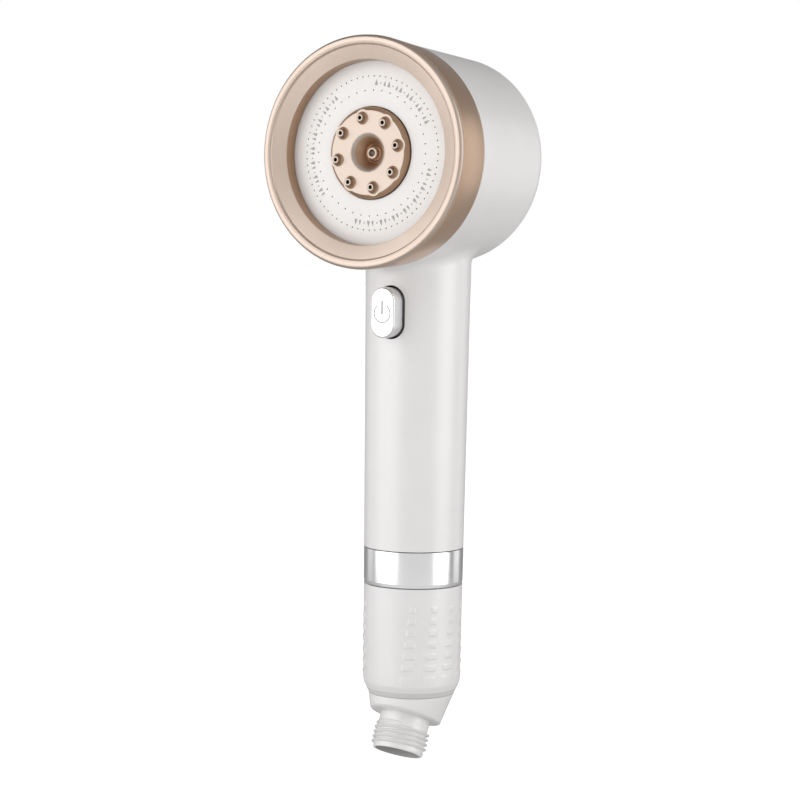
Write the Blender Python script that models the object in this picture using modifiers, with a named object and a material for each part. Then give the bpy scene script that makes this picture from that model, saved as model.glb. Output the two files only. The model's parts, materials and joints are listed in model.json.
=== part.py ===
"""Handheld shower head: drum head with a turning gold face, stop button and screw-off lower handle.

+Z runs up the handle and the spray side looks towards -Y.  The origin is on the handle's axis
at the underside of the lower handle.  Sizes below are millimetres and turn into metres through MM.
"""
import math
import bmesh
import bpy
from mathutils import Matrix, Vector

MM = 0.001
TAU = math.radians(2.0)            # the face leans back by this much
HEAD_Y, HEAD_Z = -42.2, 201.7      # centre of the head's front plane
STEPS = 36                         # facets round a large turned piece
SMALL = 20                         # facets round a small turned piece
GAP = 0.3                          # clearance between separate pieces

# head, depths are counted back from the front plane
DRUM_DEPTH = 71.0
DRUM_ROUND = 7.7
DRUM_R_BACK = 38.5
BAND_R_FRONT, BAND_R_REAR, BAND_DEPTH = 42.0, 40.7, 18.5
LIP_IN_R, CONE_IN_R, CONE_DEPTH = 38.7, 33.4, 2.9
PLATE_DEPTH, PLATE_THICK = 8.3, 2.2
DISC_R, DISC_DEPTH = 16.5, 5.3
WALL = 2.4

# handle, heights are counted up from the origin
HANDLE_R_TOP, HANDLE_R_LOW = 19.6, 18.1
HANDLE_TOP_Z = 160.0
RING_Z0, RING_Z1 = 41.8, 55.1
NECK_R, NECK_BORE, NECK_Z = 15.0, 12.6, 31.0
BORE_R = 16.6
FILLET = 4.0

BUTTON_Z = 143.6
BUTTON_W, BUTTON_H = 9.9, 18.5
BUTTON_FACE = 25.4

SPOUT_TILT = math.radians(24.0)
SPOUT_END = 23.4
THREAD_R, THREAD_PITCH = 10.4775, 1.814

for old in list(bpy.data.objects):
    bpy.data.objects.remove(old, do_unlink=True)

scene = bpy.context.scene
parts = bpy.data.collections.new("handheld_shower_head")
cutters = bpy.data.collections.new("cutters")
scene.collection.children.link(parts)
scene.collection.children.link(cutters)
cutters.hide_render = True

WHITE = ((0.90, 0.90, 0.89, 1.0), 0.28, 0.0)
GOLD = ((0.78, 0.60, 0.40, 1.0), 0.30, 0.85)
CHROME = ((0.80, 0.80, 0.82, 1.0), 0.10, 1.0)
STEEL = ((0.62, 0.62, 0.64, 1.0), 0.25, 1.0)
BRASS = ((0.74, 0.58, 0.30, 1.0), 0.30, 1.0)
RUBBER = ((0.03, 0.03, 0.03, 1.0), 0.60, 0.0)
NATURAL = ((0.80, 0.80, 0.76, 1.0), 0.45, 0.0)
DARK = ((0.10, 0.10, 0.11, 1.0), 0.45, 0.0)
FIBRE = ((0.92, 0.90, 0.85, 1.0), 0.95, 0.0)


def material(name, look):
    mat = bpy.data.materials.new(name)
    mat.use_nodes = True
    shader = mat.node_tree.nodes["Principled BSDF"]
    shader.inputs["Base Color"].default_value = look[0]
    shader.inputs["Roughness"].default_value = look[1]
    shader.inputs["Metallic"].default_value = look[2]
    mat.diffuse_color = look[0]
    return mat


FRAMES = {                         # frame name: (origin in millimetres, turn about X)
    "handle": ((0.0, 0.0, 0.0), 0.0),
    "head": ((0.0, HEAD_Y, HEAD_Z), math.pi / 2 - TAU),
    "spout": ((0.0, 0.0, 0.0), -SPOUT_TILT),
    "button": ((0.0, 0.0, BUTTON_Z), math.pi / 2),
}


def place(obj, frame, shift):
    """Handle pieces keep the world axes; head pieces look out along the head's own axis."""
    origin, turn = FRAMES[frame]
    moved = Matrix.Rotation(turn, 3, "X") @ Vector(shift)
    obj.location = (Vector(origin) + moved) * MM
    obj.rotation_euler = (turn, 0.0, 0.0)


def add(name, mesh, look, frame="handle", shift=(0, 0, 0)):
    obj = bpy.data.objects.new(name, mesh)
    if look is None:
        cutters.objects.link(obj)
        obj.hide_render = True
        obj.display_type = "WIRE"
    else:
        parts.objects.link(obj)
        obj.data.materials.append(material(name, look))
    place(obj, frame, shift)
    return obj


def turned(name, profile, look, frame="handle", steps=STEPS, shift=(0, 0, 0)):
    """A turned piece: (radius, height) points run down the outside, then back up the inside."""
    mesh = bpy.data.meshes.new(name)
    on_axis = profile[0][0] == 0 and profile[-1][0] == 0
    turn = 0.043 if look is None else 0.0
    verts = [(r * MM * math.cos(turn), r * MM * math.sin(turn), z * MM) for r, z in profile]
    edges = [(i, i + 1) for i in range(len(verts) - 1)]
    if not on_axis:
        edges.append((len(verts) - 1, 0))
    mesh.from_pydata(verts, edges, [])
    obj = add(name, mesh, look, frame, shift)
    mod = obj.modifiers.new("turn", "SCREW")
    mod.axis = "Z"
    mod.steps = steps
    mod.render_steps = steps
    mod.use_merge_vertices = True
    mod.merge_threshold = 0.00001
    mod.use_normal_calculate = False
    mod.use_smooth_shade = False
    return obj


def depth(profile):
    """Head profiles are written as (radius, depth behind the front plane)."""
    return [(r, -d) for r, d in profile]


def torus_profile(r_mid, r_cord, z_mid, points=6):
    """The round section of a seal, listed clockwise from its top."""
    out = []
    for i in range(points):
        t = math.pi / 2 - 2 * math.pi * i / points
        out.append((r_mid + r_cord * math.cos(t), z_mid + r_cord * math.sin(t)))
    return out


def cut(target, tool, kind="DIFFERENCE"):
    mod = target.modifiers.new(kind.lower(), "BOOLEAN")
    mod.operation = kind
    mod.solver = "EXACT"
    mod.object = tool


def prism(name, outline, z0, z1, look, frame="handle", shift=(0, 0, 0)):
    """A straight prism on a closed outline of (x, y) points listed counter-clockwise."""
    bm = bmesh.new()
    low = [bm.verts.new((x * MM, y * MM, z0 * MM)) for x, y in outline]
    high = [bm.verts.new((x * MM, y * MM, z1 * MM)) for x, y in outline]
    n = len(outline)
    bm.faces.new(list(reversed(low)))
    bm.faces.new(high)
    for i in range(n):
        j = (i + 1) % n
        bm.faces.new((low[i], low[j], high[j], high[i]))
    mesh = bpy.data.meshes.new(name)
    bm.to_mesh(mesh)
    bm.free()
    return add(name, mesh, look, frame, shift)


def circle(r, n, cx=0.0, cy=0.0, start=0.0):
    return [(cx + r * math.cos(start + 2 * math.pi * i / n),
             cy + r * math.sin(start + 2 * math.pi * i / n)) for i in range(n)]


def stadium(width, height, n=8):
    """A slot outline, taller than wide, counter-clockwise."""
    r = width / 2
    half = height / 2 - r
    out = []
    for i in range(n + 1):
        t = math.pi * i / n
        out.append((r * math.cos(t), half + r * math.sin(t)))
    for i in range(n + 1):
        t = math.pi + math.pi * i / n
        out.append((r * math.cos(t), -half + r * math.sin(t)))
    return out


def many_prisms(name, centres, r, n, z0, z1, frame="head"):
    """One cutter made of equal straight pins."""
    bm = bmesh.new()
    for cx, cy in centres:
        low = [bm.verts.new((x * MM, y * MM, z0 * MM)) for x, y in circle(r, n, cx, cy)]
        high = [bm.verts.new((x * MM, y * MM, z1 * MM)) for x, y in circle(r, n, cx, cy)]
        bm.faces.new(list(reversed(low)))
        bm.faces.new(high)
        for i in range(n):
            j = (i + 1) % n
            bm.faces.new((low[i], low[j], high[j], high[i]))
    mesh = bpy.data.meshes.new(name)
    bm.to_mesh(mesh)
    bm.free()
    return add(name, mesh, None, frame)


def coil(name, r_mid, wire, z0, z1, turns, look, frame="handle", shift=(0, 0, 0), per_turn=12, sides=6):
    """A round-wire coil spring with closed wire ends."""
    bm = bmesh.new()
    total = int(turns * per_turn)
    rings = []
    for i in range(total + 1):
        t = 2 * math.pi * i / per_turn
        z = z0 + (z1 - z0) * i / total
        radial = Vector((math.cos(t), math.sin(t), 0.0))
        ring = []
        for k in range(sides):
            u = 2 * math.pi * k / sides
            p = radial * (r_mid + wire * math.cos(u)) + Vector((0, 0, z + wire * math.sin(u)))
            ring.append(bm.verts.new(p * MM))
        rings.append(ring)
    for a, b in zip(rings, rings[1:]):
        for k in range(sides):
            m = (k + 1) % sides
            bm.faces.new((a[k], a[m], b[m], b[k]))
    bm.faces.new(list(reversed(rings[0])))
    bm.faces.new(rings[-1])
    bmesh.ops.recalc_face_normals(bm, faces=bm.faces)
    mesh = bpy.data.meshes.new(name)
    bm.to_mesh(mesh)
    bm.free()
    return add(name, mesh, look, frame, shift)


def lofted(name, rings, look, frame="handle", shift=(0, 0, 0)):
    """A solid skinned over rings of points, each ring counter-clockwise, from bottom to top."""
    bm = bmesh.new()
    rows = [[bm.verts.new(Vector(p) * MM) for p in ring] for ring in rings]
    n = len(rows[0])
    for a, b in zip(rows, rows[1:]):
        for i in range(n):
            j = (i + 1) % n
            bm.faces.new((a[i], a[j], b[j], b[i]))
    bm.faces.new(list(reversed(rows[0])))
    bm.faces.new(rows[-1])
    mesh = bpy.data.meshes.new(name)
    bm.to_mesh(mesh)
    bm.free()
    return add(name, mesh, look, frame, shift)


def drum_radius(d):
    """Outside radius of the head at a depth, taper first and rounded back edge last."""
    start = DRUM_DEPTH - DRUM_ROUND
    if d <= start:
        return BAND_R_REAR + (DRUM_R_BACK - BAND_R_REAR) * (d - BAND_DEPTH) / (start - BAND_DEPTH)
    over = min(d - start, DRUM_ROUND)
    return DRUM_R_BACK - DRUM_ROUND + math.sqrt(DRUM_ROUND ** 2 - over ** 2)


def drum_floor(x, y):
    """Height of the drum's underside above a point of the handle's plan."""
    d = (y - HEAD_Y) / math.cos(TAU)
    for _ in range(4):
        rad = math.sqrt(max(drum_radius(d) ** 2 - x * x, 1.0))
        d = (y - HEAD_Y + rad * math.sin(TAU)) / math.cos(TAU)
        d = min(max(d, BAND_DEPTH), DRUM_DEPTH)
    return HEAD_Z - d * math.sin(TAU) - rad * math.cos(TAU)


def handle_radius(z):
    return HANDLE_R_LOW + (HANDLE_R_TOP - HANDLE_R_LOW) * min(z / HANDLE_TOP_Z, 1.0)


def tube_sweep(name, path, r_out, r_in, look, sides=20):
    """A pipe along points of the YZ plane, given as (y, z)."""
    bm = bmesh.new()
    n = len(path)
    rows_out, rows_in = [], []
    for i, (y, z) in enumerate(path):
        y0, z0 = path[max(i - 1, 0)]
        y1, z1 = path[min(i + 1, n - 1)]
        along = Vector((0.0, y1 - y0, z1 - z0)).normalized()
        side = Vector((1.0, 0.0, 0.0))
        up = along.cross(side)
        for r, rows in ((r_out, rows_out), (r_in, rows_in)):
            row = []
            for k in range(sides):
                t = 2 * math.pi * k / sides
                p = Vector((0.0, y, z)) + side * (r * math.cos(t)) + up * (r * math.sin(t))
                row.append(bm.verts.new(p * MM))
            rows.append(row)
    for k in range(sides):
        m = (k + 1) % sides
        for a, b in zip(rows_out, rows_out[1:]):
            bm.faces.new((a[k], a[m], b[m], b[k]))
        for a, b in zip(rows_in, rows_in[1:]):
            bm.faces.new((b[k], b[m], a[m], a[k]))
        bm.faces.new((rows_in[0][k], rows_in[0][m], rows_out[0][m], rows_out[0][k]))
        bm.faces.new((rows_out[-1][k], rows_out[-1][m], rows_in[-1][m], rows_in[-1][k]))
    bmesh.ops.recalc_face_normals(bm, faces=bm.faces)
    mesh = bpy.data.meshes.new(name)
    bm.to_mesh(mesh)
    bm.free()
    return add(name, mesh, look)


def ball(name, r, look, frame, shift):
    profile = [(0.0, r)]
    for i in range(1, 8):
        t = math.pi / 2 - math.pi * i / 8
        profile.append((r * math.cos(t), r * math.sin(t)))
    profile.append((0.0, -r))
    return turned(name, profile, look, frame, 14, shift)


# ------------------------------------------------------------------ head shell
START = DRUM_DEPTH - DRUM_ROUND    # depth where the back edge begins to round
TONGUE_OUT, TONGUE_IN, TONGUE_TOP = 37.0, 34.4, 14.0
GROOVE_R, GROOVE_NEAR, GROOVE_FAR = 35.9, 15.4, 17.0


def back_corner(swell):
    """The drum's rounded back edge, grown outwards by swell."""
    points = []
    for i in range(6):
        t = math.pi / 2 * i / 5
        points.append((DRUM_R_BACK - DRUM_ROUND + (DRUM_ROUND + swell) * math.cos(t),
                       START + (DRUM_ROUND + swell) * math.sin(t)))
    return points


outer = [(0.0, TONGUE_TOP), (TONGUE_OUT, TONGUE_TOP), (TONGUE_OUT, GROOVE_NEAR), (GROOVE_R, GROOVE_NEAR),
         (GROOVE_R, GROOVE_FAR), (TONGUE_OUT, GROOVE_FAR), (TONGUE_OUT, BAND_DEPTH + GAP),
         (drum_radius(BAND_DEPTH + GAP), BAND_DEPTH + GAP)]
head = turned("head_shell", depth(outer + back_corner(0.0) + [(0.0, DRUM_DEPTH)]), WHITE, "head")
cavity = [(0.0, 13.0), (TONGUE_IN, 13.0), (TONGUE_IN, 20.0), (drum_radius(22.0) - WALL, 22.0),
          (drum_radius(START) - WALL, START), (DRUM_R_BACK - DRUM_ROUND, DRUM_DEPTH - WALL),
          (0.0, DRUM_DEPTH - WALL)]
cut(head, turned("drum_cavity", depth(cavity), None, "head"))
bore = turned("handle_bore", [(0.0, 176.0), (BORE_R, 176.0), (BORE_R, RING_Z1 + 7), (NECK_BORE, RING_Z1 + 3),
                              (NECK_BORE, NECK_Z - 1), (0.0, NECK_Z - 1)], None)
cut(head, bore)

# three posts on the drum's floor take the manifold screws
POST_R, POST_AT, POST_DEPTH = 3.2, 27.0, 30.6
POSTS = [(POST_AT * math.cos(math.radians(a)), POST_AT * math.sin(math.radians(a))) for a in (90, 210, 330)]
for i, (cx, cy) in enumerate(POSTS):
    cut(head, prism("post_%d" % (i + 1), circle(POST_R, 14), 1.0 - DRUM_DEPTH, -POST_DEPTH, None,
                    "head", (cx, cy, 0)), "UNION")
cut(head, many_prisms("post_holes", POSTS, 1.5, 10, -(POST_DEPTH + 10), -(POST_DEPTH - 5)))

# ------------------------------------------------------------------ handle shell
NECK_GROOVE_R, NECK_GROOVE_LOW, NECK_GROOVE_HIGH = 13.7, 34.2, 36.0
rings = []
angles = [2 * math.pi * i / STEPS for i in range(STEPS)]
for height, r in ((NECK_Z, NECK_R - 0.6), (NECK_Z + 0.6, NECK_R), (NECK_GROOVE_LOW, NECK_R),
                  (NECK_GROOVE_LOW, NECK_GROOVE_R), (NECK_GROOVE_HIGH, NECK_GROOVE_R),
                  (NECK_GROOVE_HIGH, NECK_R), (RING_Z1 + GAP, NECK_R),
                  (RING_Z1 + GAP, handle_radius(RING_Z1))):
    rings.append([(r * math.cos(t), r * math.sin(t), height) for t in angles])
for k in range(6):
    s = k / 5
    ring = []
    for t in angles:
        base = handle_radius(HANDLE_TOP_Z)
        corner = drum_floor(base * math.cos(t), base * math.sin(t))
        tip_r = base + FILLET
        tip = drum_floor(tip_r * math.cos(t), tip_r * math.sin(t)) + 0.5
        r = base * ((1 - s) ** 2 + 2 * s * (1 - s)) + tip_r * s * s
        height = (corner - FILLET) * (1 - s) ** 2 + corner * 2 * s * (1 - s) + tip * s * s
        ring.append((r * math.cos(t), r * math.sin(t), height))
    rings.append(ring)
rings.append([(12 * math.cos(t), 12 * math.sin(t), HEAD_Z - 20) for t in angles])
handle = lofted("handle_shell", rings, WHITE)
envelope = [(0.0, BAND_DEPTH), (drum_radius(BAND_DEPTH) + GAP, BAND_DEPTH)]
envelope += back_corner(GAP) + [(0.0, DRUM_DEPTH + GAP)]
cut(handle, turned("drum_envelope", depth(envelope), None, "head"))
cut(handle, bore)
cut(handle, prism("button_window", stadium(BUTTON_W + 1.9, BUTTON_H + 1.9), 12.0, 24.0, None, "button"))

# ------------------------------------------------------------------ turning face
bezel = [(LIP_IN_R, 0.15), (39.4, 0.0), (40.6, 0.05), (41.4, 0.45), (41.85, 1.1), (BAND_R_FRONT, 2.0),
         (BAND_R_REAR, BAND_DEPTH), (37.4, BAND_DEPTH), (37.4, 13.6), (36.4, 13.6), (36.4, 8.0),
         (33.1, 8.0), (CONE_IN_R, CONE_DEPTH)]
turned("bezel_ring", depth(bezel), GOLD, "head", 40)

plate_front = [(DISC_R + GAP, 7.6), (30.6, PLATE_DEPTH), (36.0, PLATE_DEPTH)]
plate = turned("spray_plate", depth(plate_front + [(36.0, PLATE_DEPTH + PLATE_THICK),
               (DISC_R + GAP, PLATE_DEPTH + PLATE_THICK)]), WHITE, "head")
cut(plate, many_prisms("spray_holes", circle(22.6, 40) + circle(27.7, 72), 0.4, 4, -20, -5))

disc = turned("centre_disc", depth([(0.0, DISC_DEPTH), (15.0, DISC_DEPTH), (16.1, DISC_DEPTH + 0.4),
              (DISC_R, DISC_DEPTH + 1.4), (DISC_R, 11.0), (18.4, 11.0), (18.4, 12.0), (0.0, 12.0)]),
              GOLD, "head", 36)
NOZZLES = circle(12.7, 8, 0.0, 0.0, math.radians(12.4))
for k, (cx, cy) in enumerate(NOZZLES):
    foot = [(x, y, -(DISC_DEPTH + 1.0)) for x, y in circle(2.9, 10)]
    mid = [(x, y, -(DISC_DEPTH - 0.6)) for x, y in circle(1.9, 10)]
    tip = [(x, y, -(DISC_DEPTH - 2.0)) for x, y in circle(1.35, 10)]
    cut(disc, lofted("nozzle_stock_%d" % (k + 1), [foot, mid, tip], None, "head", (cx, cy, 0)), "UNION")
cut(disc, many_prisms("nozzle_holes", NOZZLES, 0.7, 6, -13, -2))
funnel = [(0.0, 3.0), (6.8, 3.0), (6.8, DISC_DEPTH), (5.9, DISC_DEPTH + 0.7), (4.6, 9.6), (3.0, 9.6),
          (3.0, 13.0), (0.0, 13.0)]
cut(disc, turned("funnel", depth(funnel), None, "head", 24))
turned("centre_jet", depth([(2.1, 8.2), (2.1, 9.9), (2.7, 9.9), (2.7, 12.0), (1.3, 12.0), (1.3, 8.2)]),
       DARK, "head", SMALL)

turned("face_gasket", depth([(34.2, 10.8), (34.2, 11.9), (28.8, 11.9), (28.8, 10.8)]), RUBBER, "head")
divider = turned("flow_divider", depth([(36.0, 12.3), (36.0, 13.3), (33.9, 13.3), (33.9, 17.6),
                 (2.2, 17.6), (2.2, 12.3)]), NATURAL, "head")
groove = [(28.2, 11.0), (28.2, 15.2), (19.2, 15.2), (19.2, 11.0)]
cut(divider, turned("divider_groove", depth(groove), None, "head"))
well = [(0.0, 11.0), (16.6, 11.0), (16.6, 15.2), (0.0, 15.2)]
cut(divider, turned("divider_well", depth(well), None, "head"))
feeds = [(20.9 * math.cos(math.radians(a)), 20.9 * math.sin(math.radians(a))) for a in (-90, -150)]
feeds += [(13.8 * math.cos(math.radians(-30)), 13.8 * math.sin(math.radians(-30)))]
cut(divider, many_prisms("divider_feeds", feeds, 1.5, 12, -19, -14))

# ------------------------------------------------------------------ fixed parts in the head
turned("bezel_o_ring", torus_profile(36.65, 0.42, -16.2), RUBBER, "head", STEPS)
manifold = turned("manifold", depth([(33.0, 20.2), (33.0, 26.0), (2.1, 26.0), (2.1, 20.2)]), NATURAL, "head")
STUB_Y = -15.0
for i, (cx, cy) in enumerate(POSTS):
    cut(manifold, prism("lug_%d" % (i + 1), circle(4.2, 14), -(POST_DEPTH - GAP), -25.0, None,
                        "head", (cx, cy, 0)), "UNION")
cut(manifold, turned("manifold_stub", depth([(0.0, 25.0), (9.0, 25.0), (9.0, 33.0), (0.0, 33.0)]),
                     None, "head", 26, (0, STUB_Y, 0)), "UNION")
cut(manifold, turned("stub_bore", depth([(0.0, 22.8), (7.0, 22.8), (7.0, 34.0), (0.0, 34.0)]),
                     None, "head", 24, (0, STUB_Y, 0)))
cut(manifold, many_prisms("manifold_port", [(0.0, -18.6)], 3.0, 14, -23.6, -19.0))
cut(manifold, many_prisms("manifold_screw_holes", POSTS, 1.8, 12, -33, -19))
DETENT = (0.0, -28.6)
cut(manifold, many_prisms("detent_pocket", [DETENT], 2.0, 12, -24.8, -19.0))
turned("manifold_seal", depth([(33.4, 17.9), (33.4, 19.9), (31.2, 19.9), (31.2, 17.9)]), RUBBER, "head")
for i, (cx, cy) in enumerate(POSTS):
    turned("manifold_screw_%d" % (i + 1),
           [(0.0, -18.5), (2.6, -18.5), (2.6, -19.9), (1.2, -19.9), (1.2, -38.0), (0.0, -38.0)],
           STEEL, "head", 12, (cx, cy, 0))
turned("port_seal", [(2.7, -17.9), (2.7, -21.0), (1.6, -21.0), (1.6, -17.9)], RUBBER, "head", 16,
       (0, -18.6, 0))
ball("detent_ball", 1.5, STEEL, "head", (DETENT[0], DETENT[1], -19.5))
coil("detent_spring", 1.35, 0.2, -24.4, -21.4, 4, STEEL, "head", (DETENT[0], DETENT[1], 0), 10, 5)
turned("pivot_washer", [(4.3, -14.2), (4.3, -14.9), (2.2, -14.9), (2.2, -14.2)], STEEL, "head", SMALL)
turned("pivot_screw", [(0.0, -12.4), (3.4, -12.4), (3.4, -13.9), (1.7, -13.9), (1.7, -25.6), (0.0, -25.6)],
       STEEL, "head", 16)

# ------------------------------------------------------------------ stop valve and pipes
valve_side = [(0.0, 160.0), (13.5, 160.0), (14.5, 159.0), (14.5, 124.0), (13.5, 123.0), (0.0, 123.0)]
valve = turned("valve_body", valve_side, NATURAL, "handle", 32)
cut(valve, prism("valve_flat", [(-16, -13), (16, -13), (16, 13), (-16, 13)], 10.2, 18.0, None, "button"))
cut(valve, prism("valve_bore", circle(5.6, 24), -18.0, 18.0, None, "button"))
cut(valve, turned("inlet_socket", [(0.0, 133.0), (7.0, 133.0), (7.0, 129.5), (8.25, 129.5), (8.25, 127.7),
                  (7.0, 127.7), (7.0, 122.0), (0.0, 122.0)], None, "handle", 22))
cut(valve, turned("outlet_socket", [(0.0, 161.0), (7.0, 161.0), (7.0, 156.5), (8.25, 156.5), (8.25, 154.7),
                  (7.0, 154.7), (7.0, 151.0), (0.0, 151.0)], None, "handle", 22))
cut(valve, turned("valve_port", [(0.0, 155.0), (2.2, 155.0), (2.2, 129.0), (0.0, 129.0)], None, "handle", 16,
                  (0, -2.6, 0)))
turned("valve_spool", [(0.0, 13.3), (2.6, 13.3), (2.6, 9.6), (5.3, 9.6), (5.3, 8.2), (4.0, 8.2), (4.0, 6.4),
                       (5.3, 6.4), (5.3, 5.2), (2.6, 4.2), (2.6, 0.6), (5.3, -0.4), (5.3, -1.8), (4.0, -1.8),
                       (4.0, -3.6), (5.3, -3.6), (5.3, -5.0), (0.0, -5.0)], BRASS, "button", 16)
turned("spool_o_ring_front", torus_profile(4.8, 0.45, 7.3), RUBBER, "button", 18)
turned("spool_o_ring_rear", torus_profile(4.8, 0.45, -2.7), RUBBER, "button", 18)
coil("return_spring", 3.9, 0.35, -11.0, -5.75, 4, STEEL, "button", (0, 0, 0), 10, 5)
turned("valve_plug", [(0.0, -11.7), (5.3, -11.7), (5.3, -14.2), (2.0, -14.2), (2.0, -13.0), (0.0, -13.0)],
       NATURAL, "button", 20)
BUTTON_ROOT, FLANGE_BACK = 14.9, 13.6
button_rings = []
button_side = [(0.0, BUTTON_ROOT), (0.0, BUTTON_FACE - 1.0), (0.25, BUTTON_FACE - 0.3), (0.6, BUTTON_FACE)]
for inset, height in button_side:
    outline = stadium(BUTTON_W - 2 * inset, BUTTON_H - 2 * inset)
    button_rings.append([(x, y, height) for x, y in outline])
button = lofted("stop_button", button_rings, CHROME, "button")
cut(button, prism("button_flange", stadium(BUTTON_W + 3.8, BUTTON_H + 2.8), FLANGE_BACK, BUTTON_ROOT + 0.1,
                  None, "button"), "UNION")
seal = prism("button_seal", stadium(BUTTON_W + 1.4, BUTTON_H + 1.4), 16.6, 17.6, RUBBER, "button")
cut(seal, prism("button_seal_hole", stadium(BUTTON_W + 0.5, BUTTON_H + 0.5), 16.0, 19.0, None, "button"))

turned("supply_o_ring", torus_profile(7.45, 0.5, 128.6), RUBBER, "handle", 24)
turned("riser_o_ring", torus_profile(7.45, 0.5, 155.6), RUBBER, "handle", 24)
tube_sweep("supply_tube", [(0.0, 33.4), (0.0, 132.0)], 6.4, 4.8, NATURAL)
turned("tube_collar", [(12.2, 37.5), (12.2, 33.4), (6.8, 33.4), (6.8, 37.5)], NATURAL, "handle", 32)
head_turn = Matrix.Rotation(FRAMES["head"][1], 3, "X")
end_front = Vector(FRAMES["head"][0]) + head_turn @ Vector((0.0, STUB_Y, -24.0))
along = head_turn @ Vector((0.0, 0.0, 1.0))
corner = end_front - along * ((end_front.y) / along.y)
RISER_BEND = 10.0
path = [(0.0, 152.0), (0.0, 165.0)]
for i in range(7):
    s = i / 6
    a = Vector((0.0, corner.z - RISER_BEND))
    b = Vector((0.0, corner.z))
    c = Vector((along.y, along.z)) * RISER_BEND + Vector((corner.y, corner.z))
    p = a * (1 - s) ** 2 + b * 2 * s * (1 - s) + c * s * s
    path.append((p.x, p.y))
path.append((end_front.y, end_front.z))
tube_sweep("riser_elbow", path, 6.4, 4.8, NATURAL)

# ------------------------------------------------------------------ trim ring and lower handle
ring_low, ring_high = handle_radius(RING_Z0), handle_radius(RING_Z1)
turned("trim_ring", [(ring_high - 0.25, RING_Z1), (ring_high, RING_Z1 - 0.3), (ring_low, RING_Z0 + 0.3),
                     (ring_low - 0.25, RING_Z0), (NECK_R + GAP, RING_Z0), (NECK_R + GAP, RING_Z1)], CHROME)
LOW_TOP = RING_Z0 - GAP
SLEEVE_BORE = NECK_R + 0.4
sleeve = [(handle_radius(LOW_TOP) - 0.2, LOW_TOP), (handle_radius(LOW_TOP), LOW_TOP - 0.3)]
sleeve += [(HANDLE_R_LOW, 6.5), (17.75, 4.2), (17.2, 2.4), (16.1, GAP)]
sleeve += [(SLEEVE_BORE, GAP), (SLEEVE_BORE, LOW_TOP)]
lower = turned("lower_handle", sleeve, WHITE)

turned("neck_o_ring", torus_profile(14.5, 0.45, 35.1), RUBBER, "handle", 24)
turned("filter_cap_top", [(14.6, 29.8), (14.6, 29.2), (13.6, 29.2), (13.6, 27.9), (14.6, 27.9), (14.6, 27.3),
                          (5.2, 27.3), (5.2, 29.8)], NATURAL, "handle", 24)
turned("filter_o_ring", torus_profile(14.4, 0.42, 28.55), RUBBER, "handle", 24)
turned("filter_cartridge", [(13.2, 27.0), (13.2, 8.6), (5.5, 8.6), (5.5, 27.0)], FIBRE, "handle", 32)
turned("filter_cap_bottom", [(0.0, 8.3), (13.6, 8.3), (13.6, 7.0), (0.0, 7.0)], NATURAL, "handle", 32)

# ------------------------------------------------------------------ inlet connector
TILT = math.tan(SPOUT_TILT)


def slant(r, cy, drop):
    """A ring on the boot's slanted underside, seen from above as a circle."""
    out = []
    for t in [2 * math.pi * i / 36 for i in range(36)]:
        x, y = r * math.cos(t), cy + r * math.sin(t)
        out.append((x, y, drop - y * TILT))
    return out


def level(r, z):
    return [(r * math.cos(2 * math.pi * i / 36), r * math.sin(2 * math.pi * i / 36), z) for i in range(36)]


underside = [slant(12.1, -4.0, -10.8), slant(12.85, -4.0, -10.35), slant(13.3, -3.95, -9.6)]
plug = [(16.1, 0.0), (15.1, 0.0), (15.1, 2.3), (13.8, 2.3), (13.8, 4.1), (15.1, 4.1), (15.1, 5.6)]
boot = lofted("inlet_connector", underside + [level(r, z) for r, z in plug], WHITE)
SPOUT_BORE, THREAD_ROOT, THREAD_START = 7.7, 9.5, -13.0
spout = [(0.0, -3.0), (THREAD_ROOT, -3.0)]
crest_at = THREAD_START
while crest_at > 1.9 - SPOUT_END:
    spout += [(THREAD_ROOT, crest_at - 0.2), (THREAD_R, crest_at - 0.85), (THREAD_R, crest_at - 1.05),
              (THREAD_ROOT, crest_at - 1.7)]
    crest_at -= THREAD_PITCH
spout += [(THREAD_ROOT, 0.5 - SPOUT_END), (9.1, -SPOUT_END), (0.0, -SPOUT_END)]
cut(boot, turned("spout_stock", spout, None, "spout", 24), "UNION")
cut(boot, prism("spout_bore", circle(SPOUT_BORE, 24), -SPOUT_END - 2, -1.0, None, "spout"))
cut(boot, prism("plug_bore", circle(8.2, 24), -3.2, 8.0, None))
turned("connector_o_ring", torus_profile(14.55, 0.42, 3.2), RUBBER, "handle", 24)
turned("flow_limiter", [(7.4, -12.4), (7.4, -14.8), (2.0, -14.8), (2.0, -12.4)], DARK, "spout", 24)
screen = turned("inlet_screen", [(0.0, -16.0), (7.4, -16.0), (7.4, -16.8), (0.0, -16.8)], STEEL, "spout", 24)
mesh_holes = [(x * 3.2, y * 3.2) for x in range(-1, 2) for y in range(-1, 2)]
cut(screen, many_prisms("screen_holes", mesh_holes, 1.2, 8, -18.4, -14.9, "spout"))
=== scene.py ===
"""Looks of a handheld shower head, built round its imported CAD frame.

World axes are the frame's: +Z up the handle, -Y the way the spray goes.  Shapes are written in
millimetres and turned into metres by MM.
"""
import json
import math

import bmesh
import bpy
from mathutils import Matrix, Vector


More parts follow.
